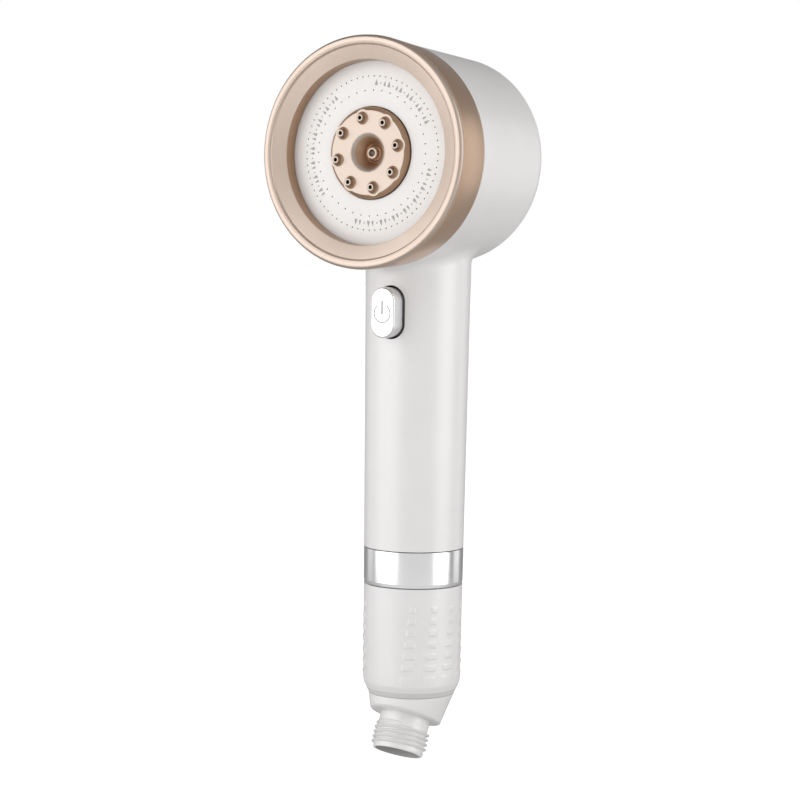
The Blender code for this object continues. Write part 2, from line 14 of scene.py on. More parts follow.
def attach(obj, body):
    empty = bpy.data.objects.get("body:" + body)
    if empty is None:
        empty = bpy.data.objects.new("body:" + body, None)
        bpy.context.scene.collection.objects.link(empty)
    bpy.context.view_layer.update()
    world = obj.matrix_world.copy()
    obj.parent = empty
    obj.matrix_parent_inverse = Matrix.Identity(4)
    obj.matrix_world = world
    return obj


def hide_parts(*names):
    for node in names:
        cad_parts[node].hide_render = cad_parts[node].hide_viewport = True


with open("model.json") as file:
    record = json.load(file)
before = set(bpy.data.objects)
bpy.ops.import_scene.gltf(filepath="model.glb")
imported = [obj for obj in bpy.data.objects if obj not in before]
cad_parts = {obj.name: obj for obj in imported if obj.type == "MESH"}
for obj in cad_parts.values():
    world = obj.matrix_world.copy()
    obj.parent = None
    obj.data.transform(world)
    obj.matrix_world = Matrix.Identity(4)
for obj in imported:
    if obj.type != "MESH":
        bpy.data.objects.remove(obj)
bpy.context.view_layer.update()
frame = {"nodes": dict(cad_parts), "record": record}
MM = 0.001

# ------------------------------------------------------------------ driving sizes
TAU = math.radians(2.0)            # backward lean of the face
HEAD_Y, HEAD_Z = -42.2, 201.7      # centre of the head's front plane
DRUM_DEPTH, DRUM_ROUND = 71.0, 7.7
DRUM_R_BACK, BAND_R_REAR = 38.5, 40.7
BAND_DEPTH, SHELL_FRONT = 18.5, 18.8
SHELL_WALL = 2.2
PLATE_DEPTH, CONE_DEPTH = 8.3, 2.9
DISC_R, DISC_DEPTH = 16.5, 5.3
NOZZLE_COUNT, NOZZLE_CIRCLE, NOZZLE_START = 8, 12.7, math.radians(12.4)

HANDLE_R_TOP, HANDLE_R_LOW, HANDLE_TOP_Z = 19.6, 18.1, 160.0
RING_Z0, RING_Z1, SEAM = 41.8, 55.1, 0.3
FILLET = 4.0
BUTTON_Z, BUTTON_W, BUTTON_H, BUTTON_FACE = 143.6, 9.9, 18.5, 25.4
SPOUT_TILT, SPOUT_END = math.radians(24.0), 23.4
THREAD_R, THREAD_ROOT, THREAD_PITCH = 10.4775, 9.35, 1.814

HEAD = Matrix.Translation((0, HEAD_Y, HEAD_Z)) @ Matrix.Rotation(math.pi / 2 - TAU, 4, "X")
SPOUT = Matrix.Rotation(-SPOUT_TILT, 4, "X")
BUTTON = Matrix.Translation((0, 0, BUTTON_Z)) @ Matrix.Rotation(math.pi / 2, 4, "X")
HANDLE = Matrix.Identity(4)


# ------------------------------------------------------------------ materials
def new_material(name, metallic=0.0, coat=0.0, coat_rough=0.1, coat_ior=1.5):
    mat = bpy.data.materials.new(name)
    mat.use_nodes = True
    shader = mat.node_tree.nodes["Principled BSDF"]
    shader.inputs["Metallic"].default_value = metallic
    shader.inputs["Coat Weight"].default_value = coat
    shader.inputs["Coat Roughness"].default_value = coat_rough
    shader.inputs["Coat IOR"].default_value = coat_ior
    return mat, mat.node_tree.nodes, mat.node_tree.links, shader


def surface(name, light, dark, rough, metallic=0.0, coat=0.0, coat_rough=0.1, coat_ior=1.5,
            mottle=60.0, grain=1800.0, grain_depth=0.02, rough_spread=0.04, stretch=(1, 1, 1)):
    """Colour drifts gently between light and dark; roughness and a fine relief follow finer noise."""
    mat, nodes, links, shader = new_material(name, metallic, coat, coat_rough, coat_ior)
    coords = nodes.new("ShaderNodeTexCoord")
    scale = nodes.new("ShaderNodeMapping")
    scale.inputs["Scale"].default_value = stretch
    links.new(coords.outputs["Object"], scale.inputs["Vector"])
    drift = nodes.new("ShaderNodeTexNoise")
    drift.inputs["Scale"].default_value = mottle
    drift.inputs["Detail"].default_value = 3.0
    links.new(coords.outputs["Object"], drift.inputs["Vector"])
    ramp = nodes.new("ShaderNodeValToRGB")
    ramp.color_ramp.elements[0].position = 0.3
    ramp.color_ramp.elements[1].position = 0.7
    ramp.color_ramp.elements[0].color = (*dark, 1)
    ramp.color_ramp.elements[1].color = (*light, 1)
    links.new(drift.outputs["Fac"], ramp.inputs["Fac"])
    links.new(ramp.outputs["Color"], shader.inputs["Base Color"])
    fine = nodes.new("ShaderNodeTexNoise")
    fine.inputs["Scale"].default_value = grain
    fine.inputs["Detail"].default_value = 4.0
    links.new(scale.outputs["Vector"], fine.inputs["Vector"])
    spread = nodes.new("ShaderNodeMapRange")
    spread.inputs["To Min"].default_value = rough - rough_spread
    spread.inputs["To Max"].default_value = rough + rough_spread
    links.new(fine.outputs["Fac"], spread.inputs["Value"])
    links.new(spread.outputs["Result"], shader.inputs["Roughness"])
    bump = nodes.new("ShaderNodeBump")
    bump.inputs["Strength"].default_value = grain_depth
    bump.inputs["Distance"].default_value = 0.0002
    links.new(fine.outputs["Fac"], bump.inputs["Height"])
    links.new(bump.outputs["Normal"], shader.inputs["Normal"])
    return mat


WHITE_ABS = surface("white_abs", (0.755, 0.745, 0.742), (0.735, 0.724, 0.72), 0.5, coat=1.0, coat_rough=0.36,
                    coat_ior=1.9, grain_depth=0.01)
PLATE_WHITE = surface("plate_white", (0.87, 0.855, 0.84), (0.85, 0.835, 0.815), 0.5,
                      grain=2600, grain_depth=0.02)

# The champagne plating is one finish on the real object.  It is split by place here, browner and
# darker where it lies in its own shade, and so are the two whites that follow it.
PLATED = dict(metallic=0.95, grain=900, grain_depth=0.004, rough_spread=0.02)
GOLD = surface("champagne_plating", (0.66, 0.545, 0.46), (0.63, 0.515, 0.43), 0.36,
               coat=0.5, coat_rough=0.25, **PLATED)
# A darker copy of the plating for the lip: painted shade.
LIP_GOLD_SHADED = surface("lip_champagne_painted_shade", (0.53, 0.435, 0.37), (0.50, 0.405, 0.34), 0.34,
                    coat=0.5, coat_rough=0.25, **PLATED)
# A darker white for the sleeve's chamfered foot: painted shade.
FOOT_WHITE_SHADED = surface("foot_white_painted_shade", (0.63, 0.615, 0.60), (0.61, 0.595, 0.58), 0.6)
# A grey white for the inside of the spout: painted shade.
BORE_WHITE_SHADED = surface("bore_white_painted_shade", (0.40, 0.39, 0.385), (0.37, 0.36, 0.355), 0.6)
# A darker copy of the plating for the disc's flat and the nozzle tips: painted shade.
DISC_GOLD_SHADED = surface("disc_champagne_painted_shade", (0.45, 0.375, 0.32), (0.425, 0.35, 0.295), 0.34,
                    coat=0.5, coat_rough=0.25, **PLATED)
# A browner, darker copy for the inner wall, the funnel, the disc's shoulder and the nozzles' flanks: painted
# shade.
RECESS_GOLD_SHADED = surface("recess_champagne_painted_shade", (0.44, 0.28, 0.18), (0.40, 0.25, 0.155), 0.36,
                      coat=0.4, coat_rough=0.3, **PLATED)
# The side band's satin grain is its own finish; its browner, darker colour is painted shade.
SATIN_BAND_SHADED = surface("band_satin_painted_shade", (0.58, 0.395, 0.27), (0.54, 0.36, 0.24), 0.36, metallic=0.95,
                     coat=0.6, coat_rough=0.3, grain=700, grain_depth=0.008, stretch=(1, 8, 1),
                     rough_spread=0.04)

CHROME = surface("chrome", (0.82, 0.82, 0.83), (0.80, 0.80, 0.81), 0.22, metallic=1.0, grain=500,
                 grain_depth=0.004, rough_spread=0.02)
BUTTON_MARK = surface("icon_grey", (0.40, 0.40, 0.41), (0.36, 0.36, 0.37), 0.4, metallic=0.6)
BUTTON_CHROME = surface("satin_chrome", (0.74, 0.74, 0.75), (0.71, 0.71, 0.72), 0.20, metallic=1.0, grain=900,
                        grain_depth=0.004, rough_spread=0.02)
RUBBER = surface("seal_rubber", (0.018, 0.018, 0.019), (0.012, 0.012, 0.012), 0.6,
                 grain=1500, grain_depth=0.1)
STEEL = surface("stainless", (0.62, 0.62, 0.63), (0.55, 0.55, 0.56), 0.25, metallic=1.0, grain=1200,
                rough_spread=0.08)
BRASS = surface("brass", (0.75, 0.58, 0.28), (0.68, 0.51, 0.24), 0.28, metallic=1.0, grain=1200,
                rough_spread=0.08)
NATURAL = surface("natural_moulding", (0.72, 0.71, 0.66), (0.66, 0.65, 0.60), 0.45,
                  grain=1400, grain_depth=0.05)
DARK = surface("dark_moulding", (0.10, 0.095, 0.09), (0.07, 0.068, 0.065), 0.4, grain=1400, grain_depth=0.05)
FIBRE = surface("filter_fibre", (0.86, 0.84, 0.79), (0.74, 0.72, 0.67), 0.95, mottle=400, grain=2500,
                grain_depth=0.6)
PRINT = surface("grey_print", (0.42, 0.41, 0.40), (0.37, 0.36, 0.35), 0.5)

SLOT_LOOKS = {"white_plastic": WHITE_ABS, "gold_plating": GOLD, "chrome": CHROME, "steel": STEEL,
              "brass": BRASS, "rubber": RUBBER, "natural_plastic": NATURAL, "dark_plastic": DARK,
              "filter_fibre": FIBRE}

for part in frame["record"]["subparts"]:
    node = frame["nodes"].get(part["node"])
    if node is not None:
        node.data.materials.clear()
        node.data.materials.append(SLOT_LOOKS[part["material_slot"]])


# ------------------------------------------------------------------ mesh helpers
class Shape:
    """Collects vertices in millimetres and faces with a material number."""

    def __init__(self):
        self.verts, self.faces, self.looks = [], [], []

    def add(self, verts, faces, look=0, matrix=HANDLE):
        base = len(self.verts)
        self.verts += [matrix @ Vector(v) for v in verts]
        self.faces += [tuple(base + i for i in f) for f in faces]
        self.looks += [look] * len(faces)

    def build(self, name, materials, sharp=32.0):
        mesh = bpy.data.meshes.new(name)
        mesh.from_pydata([v * MM for v in self.verts], [], self.faces)
        for mat in materials:
            mesh.materials.append(mat)
        mesh.polygons.foreach_set("material_index", self.looks)
        obj = bpy.data.objects.new(name, mesh)
        bpy.context.scene.collection.objects.link(obj)
        tidy(obj, sharp)
        return obj


def tidy(obj, sharp=32.0):
    """Welds doubles, turns faces outwards and shades smooth but for real edges."""
    bm = bmesh.new()
    bm.from_mesh(obj.data)
    bmesh.ops.remove_doubles(bm, verts=bm.verts, dist=0.0000005)
    bmesh.ops.recalc_face_normals(bm, faces=bm.faces)
    bm.to_mesh(obj.data)
    bm.free()
    obj.data.polygons.foreach_set("use_smooth", [True] * len(obj.data.polygons))
    obj.data.set_sharp_from_angle(angle=math.radians(sharp))


def rounded(points, arc=5):
    """(r, z, corner radius) points to (r, z) points, each corner turned into an arc."""
    out = []
    n = len(points)
    for i, (r, z, c) in enumerate(points):
        here = Vector((r, z))
        if c == 0 or (r == 0 and i in (0, n - 1)):
            out.append((r, z))
            continue
        before, after = Vector(points[i - 1][:2]), Vector(points[(i + 1) % n][:2])
        a, b = (before - here), (after - here)
        half = a.angle(b) / 2
        reach = min(c / math.tan(half), a.length * 0.49, b.length * 0.49)
        radius = reach * math.tan(half)
        a.normalize()
        b.normalize()
        centre = here + (a + b).normalized() * (radius / math.sin(half))
        start, end = here + a * reach - centre, here + b * reach - centre
        turn = start.angle_signed(end)
        for k in range(arc + 1):
            p = start.copy()
            p.rotate(Matrix.Rotation(-turn * k / arc, 2))
            p += centre
            out.append((p.x, p.y))
    return out


def lathe(profile, steps, closed=True):
    """Vertices and faces of a profile turned about Z. Points on the axis become one vertex."""
    verts, index = [], []
    for r, z in profile:
        if abs(r) < 1e-9:
            index.append([len(verts)] * steps)
            verts.append((0, 0, z))
        else:
            index.append(list(range(len(verts), len(verts) + steps)))
            verts += [(r * math.cos(2 * math.pi * k / steps), r * math.sin(2 * math.pi * k / steps), z)
                      for k in range(steps)]
    faces = []
    pairs = list(zip(index, index[1:])) + ([(index[-1], index[0])] if closed else [])
    for a, b in pairs:
        for k in range(steps):
            m = (k + 1) % steps
            quad = [a[k], a[m], b[m], b[k]]
            face = [v for i, v in enumerate(quad) if v != quad[i - 1]]
            if len(set(face)) > 2:
                faces.append(face)
    return verts, faces


def head_profile(points):
    """(radius, depth, corner) to (radius, height, corner) in the head's own frame."""
    return [(r, -d, c) for r, d, c in points]


def stadium(width, height, n=16):
    r, half = width / 2, (height - width) / 2
    top = [(r * math.cos(math.pi * i / n), half + r * math.sin(math.pi * i / n)) for i in range(n + 1)]
    return top + [(-x, -y) for x, y in top]


def loft(rings, cap_low=True, cap_high=True):
    n = len(rings[0])
    verts = [p for ring in rings for p in ring]
    faces = []
    for a in range(len(rings) - 1):
        for k in range(n):
            m = (k + 1) % n
            faces.append((a * n + k, a * n + m, (a + 1) * n + m, (a + 1) * n + k))
    if cap_low:
        faces.append(tuple(reversed(range(n))))
    if cap_high:
        faces.append(tuple((len(rings) - 1) * n + k for k in range(n)))
    return verts, faces


def pins(centres, r, n, z0, z1):
    verts, faces = [], []
    for cx, cy in centres:
        base = len(verts)
        angles = [2 * math.pi * k / n for k in range(n)]
        ring = [(cx + r * math.cos(t), cy + r * math.sin(t)) for t in angles]
        v, f = loft([[(x, y, z0) for x, y in ring], [(x, y, z1) for x, y in ring]])
        verts += v
        faces += [tuple(base + i for i in face) for face in f]
    return verts, faces


def carve(obj, shape, keep="DIFFERENCE"):
    """Applies one boolean with a throw-away cutter."""
    tool = shape.build("tool", [])
    mod = obj.modifiers.new("carve", "BOOLEAN")
    mod.operation, mod.solver, mod.object = keep, "EXACT", tool
    depsgraph = bpy.context.evaluated_depsgraph_get()
    mesh = bpy.data.meshes.new_from_object(obj.evaluated_get(depsgraph))
    obj.modifiers.clear()
    obj.data = mesh
    bpy.data.objects.remove(tool, do_unlink=True)
    mesh.set_sharp_from_angle(angle=math.radians(32))


def thread_ridge(root, crest, pitch, z0, z1, per_turn=72):
    """A right-hand thread's ridge from z0 up to z1, its ends fading into the root."""
    turns = (z1 - z0) / pitch
    total = int(turns * per_turn)
    rings = []
    for i in range(total + 1):
        t = 2 * math.pi * i / per_turn
        z = z0 + pitch * i / per_turn
        fade = min(1.0, i / (per_turn * 0.35), (total - i) / (per_turn * 0.35))
        top = root + (crest - root) * max(fade, 0.02)
        section = [(root - 0.3, -0.46), (root, -0.40), (top - 0.12, -0.12), (top, -0.04), (top, 0.04),
                   (top - 0.12, 0.12), (root, 0.40), (root - 0.3, 0.46)]
        rings.append([(r * math.cos(t), r * math.sin(t), z + h * pitch) for r, h in section])
    return loft(rings)


def paint(obj, place, choose):
    """Gives each face the material number that choose makes of its centre, in the place's millimetres."""
    inverse = place.inverted()
    for poly in obj.data.polygons:
        poly.material_index = choose(inverse @ (poly.center / MM))


def show(obj, body, slot, *nodes):
    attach(obj, body)
    if nodes:
        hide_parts(*nodes)
    return obj


# ------------------------------------------------------------------ drum and handle, one skin
STRAIGHT_END = DRUM_DEPTH - DRUM_ROUND
STRAIGHT = STRAIGHT_END - SHELL_FRONT
ARC = DRUM_ROUND * math.pi / 2


def drum_radius(d):
    slope = (DRUM_R_BACK - BAND_R_REAR) / (STRAIGHT_END - BAND_DEPTH)
    if d <= STRAIGHT_END:
        return BAND_R_REAR + slope * (d - BAND_DEPTH)
    over = min(d - STRAIGHT_END, DRUM_ROUND)
    return DRUM_R_BACK - DRUM_ROUND + math.sqrt(max(DRUM_ROUND ** 2 - over ** 2, 0.0))


def drum_point(s, theta):
    """A point of the drum's skin: s runs back along its outline, theta is 0 underneath."""
    if s <= STRAIGHT:
        d, rho = SHELL_FRONT + s, drum_radius(SHELL_FRONT + s)
    else:
        a = min((s - STRAIGHT) / DRUM_ROUND, math.pi / 2)
        d = STRAIGHT_END + DRUM_ROUND * math.sin(a)
        rho = DRUM_R_BACK - DRUM_ROUND + DRUM_ROUND * math.cos(a)
        rho -= max(s - STRAIGHT - ARC, 0.0)
    return HEAD @ Vector((rho * math.sin(theta), -rho * math.cos(theta), -d))


def drum_under(x, y):
    """(s, theta) of the drum's underside straight above a point of the handle's plan."""
    d = 40.0
    for _ in range(12):
        rho = drum_radius(min(max(d, SHELL_FRONT), DRUM_DEPTH))
        fall = math.sqrt(max(rho * rho - x * x, 1.0))
        d = (y - HEAD_Y + fall * math.sin(TAU)) / math.cos(TAU)
    s = d - SHELL_FRONT
    if d > STRAIGHT_END:
        s = STRAIGHT + DRUM_ROUND * math.asin(min((d - STRAIGHT_END) / DRUM_ROUND, 1.0))
    return s, math.asin(x / rho)


def handle_radius(z):
    return HANDLE_R_LOW + (HANDLE_R_TOP - HANDLE_R_LOW) * min(z / HANDLE_TOP_Z, 1.0)


def body_skin():
    around, side = 192, 24                     # facets round the drum; half the patch's width
    rows = [0.5 + (STRAIGHT - 0.5) * i / 44 for i in range(45)]
    rows += [STRAIGHT + ARC * i / 14 for i in range(1, 15)]
    first, last = 0, 53                        # the patch's first and last rows
    step = 2 * math.pi / around
    shape = Shape()
    grid, verts = {}, []

    def vertex(p):
        verts.append(p)
        return len(verts) - 1

    for i, s in enumerate(rows):
        for k in range(around):
            inside = first < i < last and (k < side or k > around - side)
            if not inside:
                grid[i, k] = vertex(drum_point(s, k * step))
    faces = []
    for i in range(len(rows) - 1):
        for k in range(around):
            m = (k + 1) % around
            quad = [(i, k), (i, m), (i + 1, m), (i + 1, k)]
            in_patch = first <= i < last and (k < side or k >= around - side)
            if not in_patch:
                faces.append([grid[q] for q in quad])
    # the flat back closes on a centre point
    back_rings = [grid[len(rows) - 1, k] for k in range(around)]
    previous = back_rings
    for rho in (20.0, 8.0):
        ring = [vertex(HEAD @ Vector((rho * math.sin(k * step), -rho * math.cos(k * step), -DRUM_DEPTH)))
                for k in range(around)]
        faces += [[previous[k], previous[(k + 1) % around], ring[(k + 1) % around], ring[k]]
                  for k in range(around)]
        previous = ring
    centre = vertex(HEAD @ Vector((0, 0, -DRUM_DEPTH)))
    faces += [[previous[k], previous[(k + 1) % around], centre] for k in range(around)]

    # the patch's outline, once round
    outline = [(first, k % around) for k in range(-side, side)]
    outline += [(i, side) for i in range(first, last)]
    outline += [(last, k % around) for k in range(side, -side, -1)]
    outline += [(i, around - side) for i in range(last, first, -1)]
    ring_st, edge_st, ring_angle = [], [], []
    for i, k in outline:
        p = drum_point(rows[i], k * step)
        angle = math.atan2(p.y, p.x)
        tip_r = HANDLE_R_TOP + FILLET
        ring_st.append(drum_under(tip_r * math.cos(angle), tip_r * math.sin(angle)))
        theta = (k if k <= around // 2 else k - around) * step
        edge_st.append((rows[i], theta))
        ring_angle.append(angle)
    previous = [grid[q] for q in outline]
    between = 9
    for j in range(1, between + 1):
        f = j / between
        row = [vertex(drum_point(e[0] * (1 - f) + r[0] * f, e[1] * (1 - f) + r[1] * f))
               for e, r in zip(edge_st, ring_st)]
        faces += [[previous[k], previous[(k + 1) % len(row)], row[(k + 1) % len(row)], row[k]]
                  for k in range(len(row))]
        previous = row
    # the fillet, tangent to the drum and to the handle
    corner, foot, tips = [], [], []
    for (s, theta), angle in zip(ring_st, ring_angle):
        tip = drum_point(s, theta)
        near_r = HANDLE_R_TOP + FILLET - 0.2
        near = drum_point(*drum_under(near_r * math.cos(angle), near_r * math.sin(angle)))
        slope = (tip.z - near.z) / 0.2
        top_z = tip.z - slope * FILLET
        tips.append(tip)
        corner.append(top_z)
        foot.append(top_z - FILLET)
    fillet_rows = 12
    for j in range(1, fillet_rows + 1):
        f = j / fillet_rows
        row = []
        for tip, top_z, low_z, angle in zip(tips, corner, foot, ring_angle):
            r = (HANDLE_R_TOP + FILLET) * (1 - f) ** 2 + HANDLE_R_TOP * (2 * f * (1 - f) + f * f)
            z = tip.z * (1 - f) ** 2 + top_z * 2 * f * (1 - f) + low_z * f * f
            row.append(vertex(Vector((r * math.cos(angle), r * math.sin(angle), z))))
        faces += [[previous[k], previous[(k + 1) % len(row)], row[(k + 1) % len(row)], row[k]]
                  for k in range(len(row))]
        previous = row
    # the tapering handle
    handle_rows, end_z = 90, RING_Z1 + SEAM
    for j in range(1, handle_rows + 1):
        f = j / handle_rows
        row = []
        for low_z, angle in zip(foot, ring_angle):
            z = low_z * (1 - f) + end_z * f
            ease = min(1.0, (low_z - z) / 12.0)
            r = HANDLE_R_TOP * (1 - ease) + handle_radius(z) * ease
            row.append(vertex(Vector((r * math.cos(angle), r * math.sin(angle), z))))
        faces += [[previous[k], previous[(k + 1) % len(row)], row[(k + 1) % len(row)], row[k]]
                  for k in range(len(row))]
        previous = row
    # rounded front edge, then the rim turns inwards
    front = [grid[0, k] for k in range(around)]
    previous = front
    rho = drum_radius(SHELL_FRONT)
    for inset, d in ((0.03, SHELL_FRONT + 0.3), (0.15, SHELL_FRONT + 0.1), (0.4, SHELL_FRONT)):
        r = rho - inset
        ring = [vertex(HEAD @ Vector((r * math.sin(k * step), -r * math.cos(k * step), -d)))
                for k in range(around)]
        faces += [[ring[k], ring[(k + 1) % around], previous[(k + 1) % around], previous[k]]
                  for k in range(around)]
        previous = ring
    shape.add(verts, faces)
    obj = shape.build("drum_and_handle", [WHITE_ABS], 40)
    mod = obj.modifiers.new("wall", "SOLIDIFY")
    mod.thickness = SHELL_WALL * MM
    mod.offset = -1
    mod.use_even_offset = False
    mesh = bpy.data.meshes.new_from_object(obj.evaluated_get(bpy.context.evaluated_depsgraph_get()))
    obj.modifiers.clear()
    obj.data = mesh
    tidy(obj, 40)
    window = Shape()
    outline = stadium(BUTTON_W + 1.3, BUTTON_H + 1.3, 24)
    window.add(*loft([[(x, y, 12) for x, y in outline], [(x, y, 24) for x, y in outline]]), matrix=BUTTON)
    carve(obj, window)
    extra = Shape()
    tongue = rounded(head_profile([(37.0, 14.0, 0.3), (37.0, 15.4, 0), (35.9, 15.4, 0), (35.9, 17.0, 0),
                     (37.0, 17.0, 0), (37.0, 19.0, 0), (38.7, 19.0, 0), (38.7, 21.0, 0), (34.4, 21.0, 0),
                     (34.4, 14.0, 0.3)]))
    extra.add(*lathe(tongue, 128), matrix=HEAD)
    step = RING_Z1 + SEAM + 0.4
    neck = rounded([(17.2, 58.0, 0), (17.2, step, 0), (15.0, step, 0), (15.0, 42.0, 0.2),
                    (14.1, 41.5, 0), (14.1, 37.2, 0), (15.0, 37.0, 0), (15.0, 36.0, 0), (13.7, 36.0, 0),
                    (13.7, 34.2, 0), (15.0, 34.2, 0), (15.0, 31.0, 0.5), (12.6, 31.0, 0.4),
                    (12.6, 58.0, 0)], 3)
    extra.add(*lathe(neck, 96))
    extra.add(*thread_ridge(14.1, 15.0, 2.2, 37.9, 41.2))
    more = extra.build("extra", [WHITE_ABS], 40)
    with bpy.context.temp_override(active_object=obj, selected_editable_objects=[obj, more]):
        bpy.ops.object.join()
    obj.data.set_sharp_from_angle(angle=math.radians(40))
    return show(obj, "body", "white_plastic", "head_shell", "handle_shell")


body_skin()


# ------------------------------------------------------------------ the turning face
LIP_INNER_R, WALL_OUTER_R, BAND_STARTS = 38.6, 33.3, 1.9


def ring_look(centre):
    """Number of the look: 1 on the side band, 2 on the lip, 3 on the inner wall, 0 on the cone; 1, 2 and 3
    are darker copies of the plating, painted shade.
    """
    radius = math.hypot(centre.x, centre.y)
    if radius > LIP_INNER_R:
        return 1 if -centre.z > BAND_STARTS else 2
    return 3 if radius < WALL_OUTER_R else 0


def bezel():
    """Gold ring: rounded lip, shallow cone, inner wall, satin side band and a skirt behind."""
    lip = [(33.1, 8.0, 0.1), (33.35, CONE_DEPTH, 0.22), (38.35, 1.05, 0.35), (38.75, 0.35, 0.5),
           (39.9, 0.0, 1.2), (41.2, 0.15, 1.0), (41.85, 1.0, 0.5), (41.9, 1.5, 0.1), (41.5, 1.72, 0.08),
           (41.98, 1.95, 0.12)]
    lip = rounded(head_profile(lip), 5)
    band = [(41.98, 1.95, 0.12), (BAND_R_REAR + 0.05, BAND_DEPTH - 0.5, 0.1),
            (BAND_R_REAR - 0.12, BAND_DEPTH - 0.42, 0.05), (BAND_R_REAR, BAND_DEPTH - 0.25, 0.1),
            (BAND_R_REAR - 0.2, BAND_DEPTH, 0.15), (37.4, BAND_DEPTH, 0.3), (37.4, 13.6, 0),
            (36.4, 13.6, 0), (36.4, 8.0, 0), (33.1, 8.0, 0.1)]
    band = rounded(head_profile(band), 4)
    shape = Shape()
    verts, faces = lathe(lip + band, 256)
    shape.add(verts, faces, matrix=HEAD)
    obj = shape.build("gold_ring", [GOLD, SATIN_BAND_SHADED, LIP_GOLD_SHADED, RECESS_GOLD_SHADED], 35)
    # the side band, the lip and the inner wall get darker copies of the plating: painted shade
    paint(obj, HEAD, ring_look)
    return show(obj, "face", "gold_plating", "bezel_ring")


bezel()


PLATE_IN, PLATE_OUT, PLATE_CROWN = DISC_R + SEAM, 34.0, 0.7


def plate_depth(r):
    """The plate is a little crowned towards its middle."""
    outward = min(max((r - PLATE_IN) / (PLATE_OUT - PLATE_IN), 0.0), 1.0)
    return PLATE_DEPTH - PLATE_CROWN * (1 - outward ** 1.5)


def spray_plate():
    crown = [(r, plate_depth(r), 0) for r in (18.5, 20.5, 22.5, 24.5, 26.5, 28.5, 30.5, 32.5, 34.0)]
    back = PLATE_DEPTH + 2.2
    inner_edge = [(PLATE_IN, back, 0), (PLATE_IN, plate_depth(PLATE_IN), 0.25)]
    outer_edge = [(36.0, PLATE_DEPTH, 0.1), (36.0, back, 0)]
    top = rounded(head_profile(inner_edge + crown + outer_edge), 4)
    shape = Shape()
    shape.add(*lathe(top, 256), matrix=HEAD)
    obj = shape.build("spray_plate_face", [PLATE_WHITE], 35)
    holes = Shape()
    centres = []
    for radius, count in ((22.6, 40), (27.7, 72)):
        centres += [(radius * math.cos(2 * math.pi * k / count), radius * math.sin(2 * math.pi * k / count))
                    for k in range(count)]
    holes.add(*pins(centres, 0.29, 12, -14, -5), matrix=HEAD)
    carve(obj, holes)
    return show(obj, "face", "white_plastic", "spray_plate")


spray_plate()


def plate_marks():
    """Three arcs of small printed drops and dots, in place of any lettering."""
    shape = Shape()
    radius = 25.2
    for middle, span in ((302, 90), (57, 61), (173, 88)):
        count = int(math.radians(span) * radius / 1.75)
        for i in range(count + 1):
            a = math.radians(middle - span / 2 + span * i / count)
            spot = Matrix.Rotation(a - math.pi / 2, 4, "Z")
            spot = spot @ Matrix.Translation((0, radius, -plate_depth(radius)))
            if i % 3 == 2:
                outline = [(0.28 * math.cos(t), 0.28 * math.sin(t)) for t in
                           [2 * math.pi * k / 16 for k in range(16)]]
            else:
                size = 1.25 if i % 3 == 0 else 0.95
                outline = []
                for k in range(24):
                    t = 2 * math.pi * k / 24
                    pinch = math.sin(t / 2) ** 1.6
                    outline.append((size * 0.62 * math.sin(t) * pinch, size * math.cos(t)))
            low = [(x, y, -0.15) for x, y in outline]
            high = [(x, y, 0.035) for x, y in outline]
            shape.add(*loft([low, high]), matrix=HEAD @ spot)
    obj = shape.build("plate_marks", [PRINT], 40)
    return show(obj, "face", "dark_plastic")


plate_marks()


def nozzle_profile():
    """A flared outlet: its foot is tangent to the disc and its lip is round."""
    foot_r, tip_r, height, bore = 3.1, 1.32, 2.05, 0.68
    outside = []
    for k in range(13):
        f = k / 12
        outside.append((foot_r - (foot_r - tip_r) * math.sin(f * math.pi / 2) ** 0.85,
                        height * (1 - math.cos(f * math.pi / 2)) ** 1.15 * 0.96))
    lip = [(tip_r - 0.05, height * 0.985), (tip_r - 0.16, height + 0.02), (tip_r - 0.32, height + 0.03),
           (bore + 0.12, height), (bore, height - 0.14)]
    return outside + lip + [(bore, -3.0), (foot_r, -0.4)]


FUNNEL_R, SHOULDER_R = 5.9, 15.2


